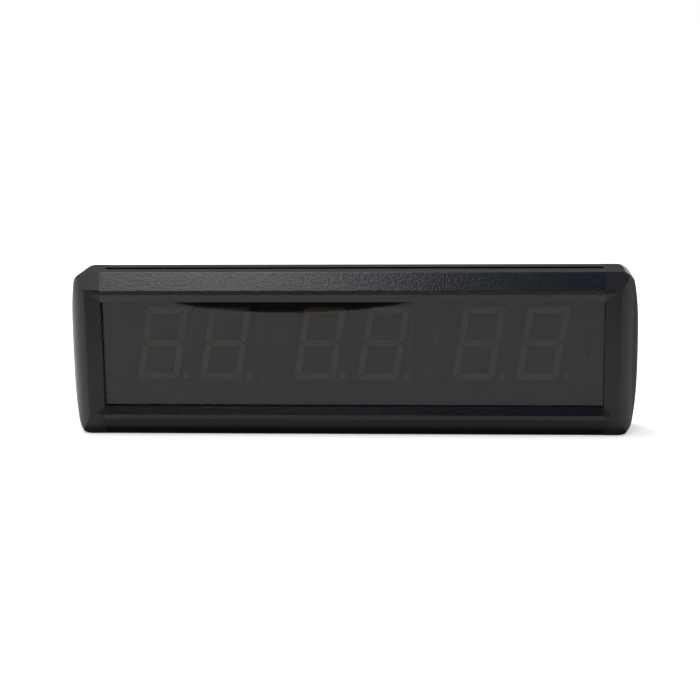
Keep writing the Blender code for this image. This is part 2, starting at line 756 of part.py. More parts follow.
def make_jack(look, nut_look):
    """Power socket that stands on the board and comes out through the back panel, with its nut."""
    base = BOARD_BACK + FIT
    shoulder = PANEL_FRONT - FIT
    floor = REAR_END - JACK_DEPTH
    profile = [
        (0.0, base),
        (JACK_RADIUS, base),
        (JACK_RADIUS, shoulder),
        (JACK_NECK, shoulder),
        (JACK_NECK, REAR_END),
        (JACK_BORE, REAR_END),
        (JACK_BORE, floor),
        (JACK_PIN, floor),
        (JACK_PIN, REAR_END - JACK_PIN_DROP),
        (0.0, REAR_END - JACK_PIN_DROP),
    ]
    place("power_jack", smooth(turned(profile, JACK_X, JACK_Z)), look)
    near = PANEL_BACK + FIT
    hexagon = prism(ring_outline(JACK_X, JACK_Z, NUT_RADIUS, HEXAGON), near, near + NUT_THICK, along_y)
    nut = combined(hexagon, [rod(JACK_NECK + FIT, near - WALL, near + WALL, JACK_X, JACK_Z)])
    place("jack_nut", smooth(nut), nut_look)


def make_buzzer(look):
    base = BOARD_BACK + FIT
    top = base + BUZZER_TALL
    profile = [
        (0.0, base),
        (BUZZER_RADIUS, base),
        (BUZZER_RADIUS, top),
        (BUZZER_MOUTH, top),
        (BUZZER_MOUTH, top - BUZZER_TALL / 2),
        (0.0, top - BUZZER_TALL / 2),
    ]
    place("buzzer", smooth(turned(profile, BUZZER_X, BUZZER_Z)), look)


def make_buttons(switch_look, button_look):
    """Setting buttons: each plunger is trapped behind the back panel and stands over a switch."""
    base = BOARD_BACK + FIT
    top = base + SWITCH_TALL
    flange = PANEL_FRONT - FIT
    foot = top + FIT + BUTTON_TRAVEL
    half = SWITCH_SIDE / 2
    for number, (name, x) in enumerate(zip(BUTTON_NAMES, SWITCH_X), start=1):
        body = box((x - half, base, SWITCH_Z - half), (x + half, top, SWITCH_Z + half))
        place(f"switch_{number}", body, switch_look)
        profile = [
            (0.0, foot),
            (BUTTON_FOOT, foot),
            (BUTTON_FOOT, flange - BUTTON_FLANGE_THICK),
            (BUTTON_FLANGE, flange - BUTTON_FLANGE_THICK),
            (BUTTON_FLANGE, flange),
            (BUTTON_RADIUS, flange),
            (BUTTON_RADIUS, REAR_END - EDGE_RADIUS),
            (BUTTON_RADIUS - EDGE_RADIUS, REAR_END),
            (0.0, REAR_END),
        ]
        place(name, smooth(turned(profile, 0.0, 0.0)), button_look, (x, 0.0, SWITCH_Z))


def make_cell(cell_look, holder_look):
    """Backup coin cell in an open cup on the board."""
    base = BOARD_BACK + FIT
    seat = base + HOLDER_FLOOR
    rim = seat + FIT + CELL_TALL
    inner = CELL_RADIUS + FIT
    cup = [
        (0.0, base),
        (inner + HOLDER_WALL, base),
        (inner + HOLDER_WALL, rim),
        (inner, rim),
        (inner, seat),
        (0.0, seat),
    ]
    place("coin_cell_holder", smooth(turned(cup, CELL_X, CELL_Z)), holder_look)
    place("coin_cell", smooth(rod(CELL_RADIUS, seat + FIT, rim, CELL_X, CELL_Z)), cell_look)


def make_small_parts(can_look, crystal_look, chip_look):
    base = BOARD_BACK + FIT
    for number, (x, lift) in enumerate(zip(CAN_X, CAN_LIFT), start=1):
        can = rod(CAN_RADIUS, base, base + CAN_TALL, x, MIDDLE + lift, SMALL_SIDES)
        place(f"capacitor_{number}", smooth(can), can_look)
    half = CRYSTAL_LENGTH / 2
    tall = CRYSTAL_WIDTH / 2
    corners = [(-half, -tall), (half, -tall), (half, tall), (-half, tall)]
    shell = rounded(corners, {index: CRYSTAL_CORNER for index in range(len(corners))})
    outline = [(CRYSTAL_X + x, CRYSTAL_Z + z) for x, z in shell]
    place("crystal", smooth(prism(outline, base, base + CRYSTAL_TALL, along_y)), crystal_look)
    for name, x, lift, width, height, thick in CHIPS:
        z = MIDDLE + lift
        low = (x - width / 2, base, z - height / 2)
        block = box(low, (x + width / 2, base + thick, z + height / 2))
        place(name, chamfered(block, base + thick, CHIP_CHAMFER), chip_look)


def main():
    clear_scene()
    make_rails(finish("textured black aluminium", (0.05, 0.05, 0.055), 0.55, 0.3))
    make_caps(finish("black moulded plastic", (0.03, 0.03, 0.032), 0.35))
    make_cap_screws(finish("zinc plated steel", (0.55, 0.55, 0.53), 0.35, 1.0))
    make_window(finish("smoked acrylic", (0.02, 0.02, 0.02), 0.08))
    make_back_panel(finish("black sheet", (0.03, 0.03, 0.03), 0.5))
    make_board(finish("dark solder mask", (0.01, 0.03, 0.02), 0.4))
    make_digits(finish("grey display face", (0.04, 0.038, 0.036), 0.5))
    make_lamps(
        finish("red lamp lens", (0.25, 0.03, 0.02), 0.25),
        finish("clear lamp lens", (0.4, 0.4, 0.38), 0.25),
    )
    make_receiver(finish("dark infrared lens", (0.02, 0.01, 0.015), 0.25))
    make_jack(
        finish("socket black", (0.02, 0.02, 0.02), 0.4),
        finish("nickel nut", (0.6, 0.6, 0.58), 0.3, 1.0),
    )
    make_buzzer(finish("buzzer case", (0.015, 0.015, 0.015), 0.45))
    make_buttons(
        finish("switch case", (0.08, 0.08, 0.08), 0.4),
        finish("button cap", (0.03, 0.03, 0.03), 0.4),
    )
    make_cell(
        finish("cell steel", (0.6, 0.6, 0.6), 0.25, 1.0),
        finish("holder plastic", (0.02, 0.02, 0.02), 0.5),
    )
    make_small_parts(
        finish("capacitor sleeve", (0.03, 0.03, 0.05), 0.35),
        finish("crystal can", (0.6, 0.6, 0.6), 0.3, 1.0),
        finish("chip package", (0.02, 0.02, 0.02), 0.55),
    )


main()
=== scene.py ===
import math

import bmesh
import bpy
from mathutils import Matrix, Vector


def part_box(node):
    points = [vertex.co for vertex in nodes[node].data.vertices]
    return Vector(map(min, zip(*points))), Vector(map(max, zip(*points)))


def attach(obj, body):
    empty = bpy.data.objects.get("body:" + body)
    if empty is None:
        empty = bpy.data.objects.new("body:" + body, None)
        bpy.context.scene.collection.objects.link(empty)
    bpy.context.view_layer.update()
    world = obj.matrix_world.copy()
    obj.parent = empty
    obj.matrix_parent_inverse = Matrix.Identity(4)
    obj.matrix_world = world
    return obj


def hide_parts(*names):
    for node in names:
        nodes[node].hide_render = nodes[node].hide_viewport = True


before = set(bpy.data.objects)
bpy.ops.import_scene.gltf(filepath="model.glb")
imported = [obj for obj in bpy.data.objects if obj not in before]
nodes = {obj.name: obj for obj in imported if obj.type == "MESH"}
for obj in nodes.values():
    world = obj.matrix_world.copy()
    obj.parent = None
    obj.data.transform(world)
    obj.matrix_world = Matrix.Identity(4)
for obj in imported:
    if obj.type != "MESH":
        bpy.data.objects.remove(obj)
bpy.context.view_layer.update()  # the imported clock, in metres, front towards -Y

fit = 0.0003  # gap between pieces that touch
caseLow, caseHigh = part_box("bottom_rail")[0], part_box("top_rail")[1]
joint = caseHigh.x  # where the rails end and the caps begin
tall = caseHigh.z
middle = tall / 2
front, back = caseLow.y, caseHigh.y
still = (0.0, 0.0, 0.0)


# Node wiring

class Wire:  # one socket; sums and products of wires add Math nodes
    def __init__(self, tree, socket=None):
        self.tree = tree
        self.socket = socket

    def node(self, kind, settings=None, values=None, out=0):
        made = self.tree.nodes.new(kind)
        for name, value in (settings or {}).items():
            setattr(made, name, value)
        for name, value in (values or {}).items():
            if isinstance(value, Wire):
                self.tree.links.new(value.socket, made.inputs[name])
            else:
                made.inputs[name].default_value = value
        return Wire(self.tree, made.outputs[out])

    def maths(self, operation, first, second):
        return self.node("ShaderNodeMath", {"operation": operation}, {0: first, 1: second})

    def __add__(self, other):
        return self.maths("ADD", self, other)

    def __radd__(self, other):
        return self.maths("ADD", other, self)

    def __sub__(self, other):
        return self.maths("SUBTRACT", self, other)

    def __rsub__(self, other):
        return self.maths("SUBTRACT", other, self)

    def __mul__(self, other):
        return self.maths("MULTIPLY", self, other)

    def __rmul__(self, other):
        return self.maths("MULTIPLY", other, self)

    def between(self, low, high):  # 0 below low, 1 above high, eased
        kept = {"interpolation_type": "SMOOTHSTEP"}
        return self.node("ShaderNodeMapRange", kept, {"Value": self, "From Min": low, "From Max": high})

    def blend(self, share, first, second):  # two colours, by a share; 6, 7 and 2 are Mix's colour sockets
        return self.node("ShaderNodeMix", {"data_type": "RGBA"}, {0: share, 6: first, 7: second}, 2)

    def part(self, axis):  # one part of a vector
        return self.node("ShaderNodeSeparateXYZ", None, {"Vector": self}, axis)


def grey(level, blue=0.0):
    return (level, level, level + blue, 1.0)


def newFinish(name, fixed, paint=None):
    made = bpy.data.materials.new(name)
    made.use_nodes = True
    tree = made.node_tree
    shader = tree.nodes["Principled BSDF"]
    for socket, value in fixed.items():
        shader.inputs[socket].default_value = value
    if paint:
        for socket, wire in paint(Wire(tree)).items():
            tree.links.new(wire.socket, shader.inputs[socket])
    return made


def objectPlace(w):
    return w.node("ShaderNodeTexCoord", out="Object")


def noiseAt(w, place, size, detail=2.0, rough=0.5):
    return w.node("ShaderNodeTexNoise", None,
                  {"Vector": place, "Scale": 1 / size, "Detail": detail, "Roughness": rough})


def bumpOf(w, height, depth):
    return w.node("ShaderNodeBump", None, {"Height": height, "Distance": depth, "Strength": 1.0})


upward = (0.9, 0.99)  # faces whose normal rises this much look up


def settledDust(w, amount):  # takes the shine off faces that look up
    return w.node("ShaderNodeNewGeometry", out="Normal").part("Z").between(*upward) * amount


# Finishes

plasticIor = 1.45
coat = {
    "grain": 0.00125,
    "octaves": (2.0, 0.7),
    "relief": (0.25, 0.75),  # the part of the grain that makes the relief
    "fine": 0.00055,
    "fineShare": 0.35,
    "depth": 0.00005,
    "shades": (grey(0.002, 0.0005), grey(0.005, 0.0005)),
    "rough": (0.15, 0.10),  # least, and what the fine grain adds
    "gloss": 0.37,
    "dust": 0.72,
}


def coatFinish():  # fine textured powder coat on the rails
    least, byFine = coat["rough"]

    def paint(w):
        place = objectPlace(w)
        grain = noiseAt(w, place, coat["grain"], *coat["octaves"])
        fine = noiseAt(w, place, coat["fine"], 1.0)
        height = grain.between(*coat["relief"]) + fine * coat["fineShare"]
        return {"Base Color": w.blend(grain, *coat["shades"]),
                "Roughness": fine * byFine + settledDust(w, coat["dust"]) + least,
                "Normal": bumpOf(w, height, coat["depth"])}
    return newFinish("textured_coat", {"Specular IOR Level": coat["gloss"], "IOR": plasticIor}, paint)


moulding = {
    "grain": 0.00021,
    "depth": 0.000012,
    "cloud": 0.012,  # size of the soft patches
    "shades": (0.8, 1.15, 0.10),  # dark patch, pale patch and blue, times the level
    "rough": (0.1, 0.06, 0.08),  # what cloud and grain add, and what comes off for them
    "gloss": 0.4,
}


def mouldedFinish(name, level, rough, gloss=moulding["gloss"], dust=0.0):  # satin moulded plastic
    dark, pale, blue = (level * share for share in moulding["shades"])
    byCloud, byGrain, less = moulding["rough"]

    def paint(w):
        place = objectPlace(w)
        grain = noiseAt(w, place, moulding["grain"], 1.0)
        cloud = noiseAt(w, place, moulding["cloud"], 3.0)
        dull = cloud * byCloud + (grain * byGrain + rough - less)
        if dust:
            dull = dull + settledDust(w, dust)
        return {"Base Color": w.blend(cloud, grey(dark, blue), grey(pale, blue)), "Roughness": dull,
                "Normal": bumpOf(w, grain, moulding["depth"])}
    return newFinish(name, {"Specular IOR Level": gloss, "IOR": plasticIor}, paint)


acrylic = {
    "base": grey(0.0032, 0.0002),
    "alpha": 0.65,
    "gloss": 0.41,
    "ior": 1.49,
    "smear": 0.035,  # size of the wiped patches
    "smearReach": (0.4, 0.75),
    "speck": 0.0016,
    "speckReach": (0.66, 0.8),
    "rough": (0.018, 0.02, 0.05),  # least, and what smears and specks add
}


def acrylicFinish():  # polished smoked sheet
    least, bySmear, bySpeck = acrylic["rough"]

    def paint(w):
        place = objectPlace(w)
        smear = noiseAt(w, place, acrylic["smear"], 4.0).between(*acrylic["smearReach"])
        speck = noiseAt(w, place, acrylic["speck"], 2.0).between(*acrylic["speckReach"])
        return {"Roughness": smear * bySmear + speck * bySpeck + least}
    fixed = {"Base Color": acrylic["base"], "Alpha": acrylic["alpha"], "IOR": acrylic["ior"],
             "Specular IOR Level": acrylic["gloss"]}
    return newFinish("smoked_acrylic", fixed, paint)


diffuser = {"cloud": 0.006, "speck": 0.0005, "depth": 0.00001, "gloss": 0.15, "rough": (0.15, 0.08)}


def segmentFinish(name, pale, deep, rough=0.55):  # milky diffuser, a little uneven
    bySpeck, less = diffuser["rough"]

    def paint(w):
        place = objectPlace(w)
        cloud = noiseAt(w, place, diffuser["cloud"], 3.0)
        speck = noiseAt(w, place, diffuser["speck"], 1.0)
        return {"Base Color": w.blend(cloud, deep, pale), "Roughness": speck * bySpeck + (rough - less),
                "Normal": bumpOf(w, speck, diffuser["depth"])}
    return newFinish(name, {"Specular IOR Level": diffuser["gloss"]}, paint)


plating = {
    "line": 0.00018,
    "stretch": 0.04,  # of the noise, along the lines
    "stain": 0.004,
    "stainReach": (0.35, 0.7),
    "dull": 0.78,  # of the colour, where it is stained
    "depth": 0.000006,
    "rough": (0.2, 0.1, 0.15),  # what lines and stains add, and what comes off for them
}


def steelFinish(name, colour, rough, along):  # drawn or brushed metal, lines along one axis
    stretch = tuple(plating["stretch"] if axis == along else 1.0 for axis in "XYZ")
    dull = tuple(part * plating["dull"] for part in colour[:3]) + (1.0,)
    byLine, byStain, less = plating["rough"]

    def paint(w):
        place = w.node("ShaderNodeMapping", None, {"Vector": objectPlace(w), "Scale": stretch})
        lines = noiseAt(w, place, plating["line"], 2.0)
        stain = noiseAt(w, objectPlace(w), plating["stain"], 3.0)
        return {"Base Color": w.blend(stain.between(*plating["stainReach"]), dull, colour),
                "Roughness": lines * byLine + stain * byStain + (rough - less),
                "Normal": bumpOf(w, lines, plating["depth"])}
    return newFinish(name, {"Metallic": 1.0}, paint)


solder = {
    "mask": (0.004, 0.012, 0.007, 1.0),
    "trace": (0.008, 0.026, 0.014, 1.0),
    "track": 0.0042,
    "layout": {"offset": 0.37, "squash": 1.6, "squash_frequency": 3},
    "spacing": {"Mortar Size": 0.06, "Brick Width": 2.6, "Row Height": 0.31},
    "depth": 0.00003,
    "speck": 0.0012,
    "rough": (0.3, 0.12),
    "gloss": 0.5,
}


def boardFinish():  # dark solder mask over copper tracks
    least, bySpeck = solder["rough"]

    def paint(w):
        place = objectPlace(w)
        upright = (math.pi / 2, 0.0, 0.0)
        turned = w.node("ShaderNodeMapping", None, {"Vector": place, "Rotation": upright})
        spacing = {"Vector": turned, "Scale": 1 / solder["track"], **solder["spacing"]}
        tracks = w.node("ShaderNodeTexBrick", solder["layout"], spacing, "Fac")
        speck = noiseAt(w, place, solder["speck"], 2.0)
        return {"Base Color": w.blend(tracks, solder["mask"], solder["trace"]),
                "Roughness": speck * bySpeck + least, "Normal": bumpOf(w, tracks, solder["depth"])}
    return newFinish("solder_mask", {"Specular IOR Level": solder["gloss"]}, paint)


looks = {
    "coat": coatFinish(),
    # name, level, roughness, and where it differs, gloss and dust
    "cap": mouldedFinish("cap_plastic", 0.0105, 0.30, 0.225, 0.6),
    "panel": mouldedFinish("panel_paint", 0.012, 0.46),
    "button": mouldedFinish("button_plastic", 0.014, 0.3),
    "socket": mouldedFinish("socket_plastic", 0.01, 0.36),
    "chip": mouldedFinish("chip_resin", 0.012, 0.55),
    "holder": mouldedFinish("holder_plastic", 0.012, 0.42),
    "buzzer": mouldedFinish("buzzer_plastic", 0.008, 0.4),
    "module": mouldedFinish("module_face", 0.006, 0.6, 0.3),
    "sleeve": mouldedFinish("capacitor_sleeve", 0.02, 0.3),
    "acrylic": acrylicFinish(),
    "segment": segmentFinish("segment_diffuser", (0.86, 0.58, 0.24, 1.0), (0.74, 0.47, 0.17, 1.0)),
    "lens": segmentFinish("lamp_lens", (0.34, 0.19, 0.12, 1.0), (0.26, 0.14, 0.09, 1.0), 0.6),
    # painted highlight: the pale colour of the pilot lamps' outer ring stands for the bright edge of their
    # lens
    "rim": segmentFinish("lamp_rim_painted_highlight", (0.85, 0.62, 0.36, 1.0), (0.70, 0.50, 0.28, 1.0), 0.5),
    "dome": segmentFinish("receiver_lens", (0.10, 0.07, 0.06, 1.0), (0.06, 0.04, 0.04, 1.0), 0.2),
    "board": boardFinish(),
    "zinc": steelFinish("zinc_plate", (0.62, 0.62, 0.60, 1.0), 0.36, "X"),
    "nickel": steelFinish("nickel_plate", (0.66, 0.64, 0.60, 1.0), 0.3, "Y"),
    "tin": steelFinish("tinned_leads", (0.70, 0.70, 0.69, 1.0), 0.38, "Z"),
}
print("finishes:", len(looks))


# Mesh tools

mend = {"merge": 1e-6, "flat": math.radians(0.4), "weight": 80}


def newPiece(name, mesh, look, body="housing", replaced=()):
    if len(mesh.materials):
        mesh.materials.clear()
    for one in look if isinstance(look, (list, tuple)) else [look]:
        mesh.materials.append(looks[one])
    made = bpy.data.objects.new(name, mesh)
    bpy.context.scene.collection.objects.link(made)
    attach(made, body)
    if replaced:
        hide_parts(*replaced)
    return made


def meshFrom(shape, name):
    mesh = bpy.data.meshes.new(name)
    shape.to_mesh(mesh)
    shape.free()
    return mesh


def closedMesh(shape, name):  # with its faces turned outwards
    bmesh.ops.recalc_face_normals(shape, faces=shape.faces)
    return meshFrom(shape, name)


def evaluated(mesh, modifiers):  # a mesh run through modifiers, given as (type, settings)
    helper = bpy.data.objects.new("helper", mesh)
    bpy.context.scene.collection.objects.link(helper)
    for kind, settings in modifiers:
        step = helper.modifiers.new(kind, kind)
        for name, value in settings.items():
            setattr(step, name, value)
    bpy.context.view_layer.update()
    graph = bpy.context.evaluated_depsgraph_get()
    result = bpy.data.meshes.new_from_object(helper.evaluated_get(graph))
    bpy.data.objects.remove(helper, do_unlink=True)
    return result


def bevelled(mesh, width, angle):  # rounds the edges that turn more than an angle in degrees
    settings = {"width": width, "segments": 2, "limit_method": "ANGLE", "angle_limit": math.radians(angle)}
    return evaluated(mesh, [("BEVEL", settings)])


def carved(mesh, others, operation="DIFFERENCE"):
    tools = []
    for other in others:
        tool = bpy.data.objects.new("tool", other)
        bpy.context.scene.collection.objects.link(tool)
        tools.append(tool)
    steps = [("BOOLEAN", {"operation": operation, "solver": "EXACT", "object": tool}) for tool in tools]
    result = evaluated(mesh, steps)
    for tool in tools:
        bpy.data.objects.remove(tool, do_unlink=True)
    return result


def softened(mesh, angle=30.0, weighted=True):  # smooth shading up to an angle, flats kept flat
    mesh.shade_smooth()
    mesh.set_sharp_from_angle(angle=math.radians(angle))
    if weighted:
        return evaluated(mesh, [("WEIGHTED_NORMAL", {"keep_sharp": True, "weight": mend["weight"]})])
    return mesh


def mergedCopy(node):  # a CAD node's triangles as one clean mesh
    shape = bmesh.new()
    shape.from_mesh(nodes[node].data)
    bmesh.ops.remove_doubles(shape, verts=shape.verts, dist=mend["merge"])
    bmesh.ops.dissolve_limit(shape, angle_limit=mend["flat"], verts=shape.verts, edges=shape.edges)
    return meshFrom(shape, node)


def block(low, high):
    shape = bmesh.new()
    made = bmesh.ops.create_cube(shape, size=1.0)
    size = Vector(high) - Vector(low)
    for vert in made["verts"]:
        vert.co = Vector(low) + Vector([(part + 0.5) * length for part, length in zip(vert.co, size)])
    return meshFrom(shape, "block")


def spun(profile, sides, axis="Y", at=still, sign=1.0):  # closed profile of (radius, distance)
    shape = bmesh.new()
    rings = []
    for radius, along in profile:
        count = 1 if radius == 0.0 else sides
        ring = []
        for step in range(count):
            turn = math.tau * step / sides
            spot = [radius * math.cos(turn), radius * math.sin(turn)]
            spot.insert("XYZ".index(axis), along * sign)
            ring.append(shape.verts.new(Vector(spot) + Vector(at)))
        rings.append(ring)
    for one, two in zip(rings, rings[1:] + rings[:1]):
        for step in range(sides):
            after = step + 1
            corners = [one[step % len(one)], one[after % len(one)]]
            corners += [two[after % len(two)], two[step % len(two)]]
            corners = list(dict.fromkeys(corners))
            if len(corners) > 2:
                shape.faces.new(corners)
    return closedMesh(shape, "spun")


def arcOf(centre, radius, start, end, steps):  # points of an arc in a profile, angles in degrees
    points = []
    for step in range(steps + 1):
        turn = math.radians(start + (end - start) * step / steps)
        points.append((centre[0] + radius * math.cos(turn), centre[1] + radius * math.sin(turn)))
    return points


def quarter(steps):  # angles from 0 to 90 degrees
    return [math.radians(90.0 * step / steps) for step in range(steps + 1)]


def joined(meshes):  # several meshes as one, each keeping its own material number
    shape = bmesh.new()
    for number, mesh in enumerate(meshes):
        known = len(shape.faces)
        shape.from_mesh(mesh)
        shape.faces.ensure_lookup_table()
        for face in shape.faces[known:]:
            face.material_index = number
    return meshFrom(shape, "joined")


def mirrored(mesh):  # left for right
    copy = mesh.copy()
    copy.transform(Matrix.Scale(-1.0, 4, (1.0, 0.0, 0.0)))
    copy.flip_normals()
    return copy


def walls(shape, one, two):  # faces between two rings of the same count
    for step in range(len(one)):
        after = (step + 1) % len(one)
        shape.faces.new((one[step], one[after], two[after], two[step]))


# Geometry node tools

def openTree(name, inputs):
    tree = bpy.data.node_groups.new(name, "GeometryNodeTree")
    tree.interface.new_socket("Geometry", in_out="INPUT", socket_type="NodeSocketGeometry")
    for label, kind in inputs.items():
        tree.interface.new_socket(label, in_out="INPUT", socket_type="NodeSocket" + kind)
    tree.interface.new_socket("Geometry", in_out="OUTPUT", socket_type="NodeSocketGeometry")
    entry = tree.nodes.new("NodeGroupInput")
    return Wire(tree), {socket.name: Wire(tree, socket) for socket in entry.outputs if socket.name}


def closeTree(w, geometry, material):
    real = w.node("GeometryNodeRealizeInstances", None, {"Geometry": geometry})
    painted = w.node("GeometryNodeSetMaterial", None, {"Geometry": real, "Material": material})
    end = w.tree.nodes.new("NodeGroupOutput")
    w.tree.links.new(painted.socket, end.inputs[0])
    return w.tree


def seeds(points, turns):  # loose points with a turn each
    mesh = bpy.data.meshes.new("seeds")
    mesh.from_pydata([tuple(point) for point in points], [], [])
    layer = mesh.attributes.new("turn", "FLOAT_VECTOR", "POINT")
    layer.data.foreach_set("vector", [part for turn in turns for part in turn])
    return mesh


def grown(tree, mesh, settings):  # the tree's result on a seed mesh, as a plain mesh
    seed = bpy.data.objects.new("seed", mesh)
    bpy.context.scene.collection.objects.link(seed)
    step = seed.modifiers.new("grow", "NODES")
    step.node_group = tree
    for item in tree.interface.items_tree:
        if item.in_out == "INPUT" and item.name in settings:
            step[item.identifier] = settings[item.name]
    bpy.context.view_layer.update()
    graph = bpy.context.evaluated_depsgraph_get()
    result = bpy.data.meshes.new_from_object(seed.evaluated_get(graph))
    seed.modifiers.remove(step)
    bpy.data.objects.remove(seed, do_unlink=True)
    return result


def copiesTree():  # copies of one shape on points, each with its own turn
    w, given = openTree("copies_on_points", {"Shape": "Object", "Material": "Material"})
    kept = {"transform_space": "ORIGINAL"}
    shape = w.node("GeometryNodeObjectInfo", kept, {"Object": given["Shape"]}, "Geometry")
    turn = w.node("GeometryNodeInputNamedAttribute", {"data_type": "FLOAT_VECTOR"}, {"Name": "turn"})
    spin = w.node("FunctionNodeEulerToRotation", None, {"Euler": turn})
    placed = w.node("GeometryNodeInstanceOnPoints", None,
                    {"Points": given["Geometry"], "Instance": shape, "Rotation": spin})
    return closeTree(w, placed, given["Material"])


copies = copiesTree()


def copiesOf(mesh, points, look, turns=None):
    shape = bpy.data.objects.new("shape", mesh)
    bpy.context.scene.collection.objects.link(shape)
    seed = seeds(points, turns or [still] * len(points))
    made = grown(copies, seed, {"Shape": shape, "Material": looks[look]})
    bpy.data.objects.remove(shape, do_unlink=True)
    return made


# End caps

cap = {
    "ridge": 0.0086,  # joint to the front ridge
    "reach": 0.0195,  # joint to the widest place
    "crest": 0.0188,  # depth of the widest place
    "sag": 0.0048,  # how much the side falls away towards the top
    "corner": 0.0064,
    "bevelRise": 0.0093,
    "bevelRun": 0.0040,
    "soften": 0.0016,  # width of the blend between the two curves of the side
    "edge": (0.00045, 35.0),  # rounding, and the least turn that gets it
    "steps": {"corner": 10, "bevel": 5, "side": 44, "depth": 30},
    "smooth": 24.0,
    "band": 0.0032,  # flat front band beside the ridge
    "lipDrop": 0.0157,
    "lipRun": 0.0015,
    "lipRise": 0.0041,
    "notch": (0.0093, 0.0113),  # from the joint
    "notchDepth": (0.0168, 0.0198),
    "notchDrop": 0.0025,
    "pocket": (0.0080, 0.0250),
    "pocketDrop": 0.0180,
    "pocketWall": 0.0060,
    "seat": 0.0090,  # of the screw heads
    "holeSides": 40,
    "tongue": (0.0060, 0.0036, 0.0045),
    "tongueBack": 0.0114,
    "tongueDrop": 0.0021,
    "past": 0.002,  # how far a cut runs past the surface
}


def capReach(depth, z):  # how far out the side of a cap is, from the joint
    rise = cap["reach"] - cap["ridge"]
    bow = (cap["crest"] ** 2 + rise**2) / (2 * rise)
    plan = cap["reach"] - bow + math.sqrt(bow**2 - (depth - cap["crest"]) ** 2)
    spare = cap["soften"] / 2
    sag = cap["sag"] + spare
    barrel = (middle**2 + sag**2) / (2 * sag)
    side = cap["reach"] + spare - barrel + math.sqrt(barrel**2 - (z - middle) ** 2)
    into = max(0.0, abs(z - middle) - (middle - cap["corner"]))
    side -= cap["corner"] - math.sqrt(max(0.0, cap["corner"] ** 2 - into**2))
    near = max(0.0, cap["soften"] - abs(plan - side)) / cap["soften"]
    return min(plan, side) - near * near * cap["soften"] / 4


def capRows():  # heights of the grid, close together where the corner turns
    steps = cap["steps"]
    flat = cap["bevelRise"] - cap["corner"]
    low = [cap["corner"] * (1 - math.cos(turn)) for turn in quarter(steps["corner"])]
    low += [cap["corner"] + flat * step / steps["bevel"] for step in range(1, steps["bevel"] + 1)]
    count = steps["side"]
    mid = [cap["bevelRise"] + (tall - 2 * cap["bevelRise"]) * step / count for step in range(1, count)]
    return low + mid + [tall - z for z in reversed(low)]


def capSolid():
    shape = bmesh.new()
    rows = capRows()
    columns = cap["steps"]["depth"]
    deep = back - front
    outer, inner = [], []
    for z in rows:
        drop = min(z, tall - z)
        start = cap["bevelRun"] * max(0.0, 1 - drop / cap["bevelRise"])
        outer.append([])
        inner.append([])
        for step in range(columns + 1):
            depth = start + (deep - start) * step / columns
            outer[-1].append(shape.verts.new((joint + capReach(depth, z), front + depth, z)))
            inner[-1].append(shape.verts.new((joint + fit, front + depth, z)))
    for i in range(len(rows) - 1):
        for j in range(columns):
            shape.faces.new((outer[i][j], outer[i][j + 1], outer[i + 1][j + 1], outer[i + 1][j]))
            shape.faces.new((inner[i][j], inner[i + 1][j], inner[i + 1][j + 1], inner[i][j + 1]))
        for j in (0, columns):
            shape.faces.new((outer[i][j], outer[i + 1][j], inner[i + 1][j], inner[i][j]))
    for i in (0, len(rows) - 1):
        for j in range(columns):
            shape.faces.new((outer[i][j], outer[i][j + 1], inner[i][j + 1], inner[i][j]))
    return bevelled(closedMesh(shape, "cap"), *cap["edge"])


def lipRecess():  # the slope round the window, with mitred corners
    shape = bmesh.new()
    rings = []
    for depth in (-cap["lipRun"], cap["lipRun"]):
        away = (cap["lipRun"] - depth) / cap["lipRun"]
        low = cap["lipDrop"] - cap["lipRise"] * away
        reach = joint + (cap["ridge"] - cap["band"]) * away
        inside = joint - cap["ridge"]
        corners = [(inside, low), (reach, low), (reach, tall - low), (inside, tall - low)]
        rings.append([shape.verts.new((x, front + depth, z)) for x, z in corners])
    shape.faces.new(rings[0])
    shape.faces.new(rings[1])
    walls(shape, *rings)
    return closedMesh(shape, "recess")


def capCuts():
    past = cap["past"]
    inside = joint - past
    outside = joint + cap["reach"] + past
    cuts = [lipRecess()]
    for sheet in ("front_window", "back_panel"):
        low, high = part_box(sheet)
        cuts.append(block((inside, low.y - fit, low.z - fit), (high.x + fit, high.y + fit, high.z + fit)))
    near, far = (front + depth for depth in cap["pocket"])
    cuts.append(block((inside, near, cap["pocketDrop"]),
                      (joint + cap["reach"] - cap["pocketWall"], far, tall - cap["pocketDrop"])))
    for row in ("upper", "lower"):
        low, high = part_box(f"right_{row}_cap_screw")
        centre = (low + high) / 2
        shank = screw["shank"] + fit
        head = (high.y - low.y) / 2 + fit
        for radius, start in ((shank, inside), (head, joint + cap["seat"])):
            profile = [(0.0, start), (radius, start), (radius, outside), (0.0, outside)]
            cuts.append(spun(profile, cap["holeSides"], "X", (0.0, centre.y, centre.z)))
    near, far = (front + depth for depth in cap["notchDepth"])
    for low, high in ((-past, cap["notchDrop"]), (tall - cap["notchDrop"], tall + past)):
        cuts.append(block((joint + cap["notch"][0], near, low), (joint + cap["notch"][1], far, high)))
    return cuts


def makeCaps():
    length, width, height = cap["tongue"]
    end = front + cap["tongueBack"]
    tongues = []
    for low in (cap["tongueDrop"], tall - cap["tongueDrop"] - height):
        tongues.append(block((joint - length, end - width, low),
                             (joint + cap["ridge"] / 2, end, low + height)))
    solid = carved(carved(capSolid(), tongues, "UNION"), capCuts())
    for side in ("right", "left"):
        mesh = softened(solid if side == "right" else mirrored(solid), cap["smooth"])
        newPiece(side + "_cap_moulding", mesh, "cap", replaced=[side + "_end_cap"])
    print("caps:", len(mesh.polygons), "faces each")


# Cap screws

